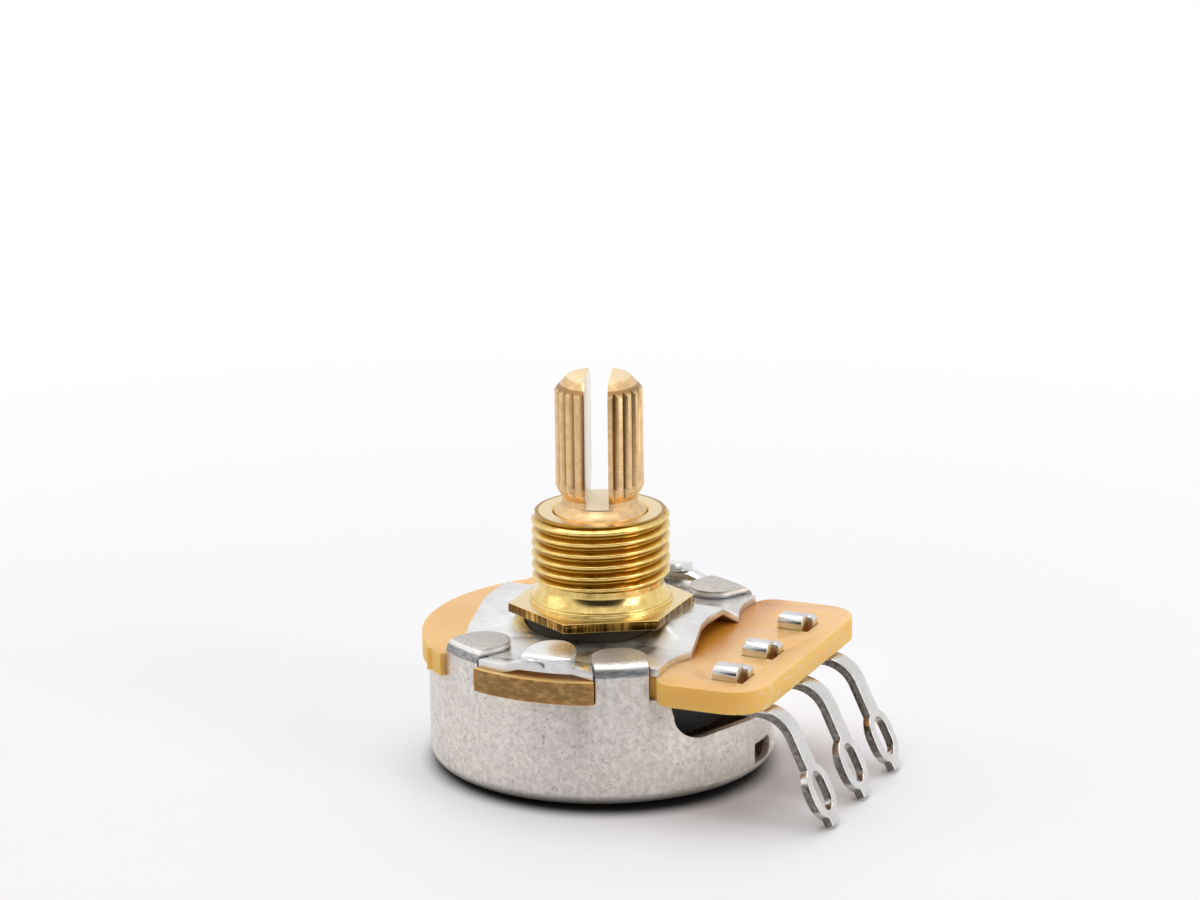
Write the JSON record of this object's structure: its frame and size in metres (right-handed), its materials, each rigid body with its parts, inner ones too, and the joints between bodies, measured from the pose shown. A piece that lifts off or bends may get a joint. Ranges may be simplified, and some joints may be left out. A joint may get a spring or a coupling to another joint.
{
  "type": "rotary potentiometer",
  "caption": "Panel-mount rotary potentiometer: round metal can, laminate terminal board, folded plate, threaded bushing, split splined shaft and bent solder eyelets.",
  "frame": {"origin": "on the shaft axis, in the plane of the can's flat back", "axes": "+Z along the shaft towards its free end, +X towards the terminals, +Y to the back of the pictured view"},
  "size_m": [0.0324, 0.0246, 0.0274],
  "materials": {
    "plated_steel": "satin plated sheet with fine scuffs",
    "laminate": "waxy paper laminate with cut fibrous edges",
    "tin_plate": "bright tinned sheet",
    "brass": "bright turned",
    "shaft_brass": "satin turned",
    "spring_steel": "satin",
    "moulding": "moulded",
    "spring_bronze": "bright spring sheet",
    "carbon": "printed, matte",
    "silver_ink": "printed, satin",
    "terminal_tin": "mottled tinned sheet with sheared edges"
  },
  "bodies": {
    "housing": {"can": "plated_steel", "terminal_board": "laminate", "mounting_plate": "tin_plate", "bushing": "brass", "resistive_track": "carbon", "front_contact_pad": "silver_ink", "back_contact_pad": "silver_ink", "collector_track": "silver_ink", "front_terminal": "terminal_tin", "middle_terminal": "terminal_tin", "back_terminal": "terminal_tin"},
    "shaft_rotor": {"shaft": "shaft_brass", "retaining_ring": "spring_steel", "rotor": "moulding", "wiper": "spring_bronze"}
  },
  "joints": [
    {"name": "shaft_turn", "type": "hinge", "parent": "housing", "child": "shaft_rotor", "pos_m": [0, 0, 0], "axis": [0, 0, 1], "range_deg": [-150, 150]}
  ]
}
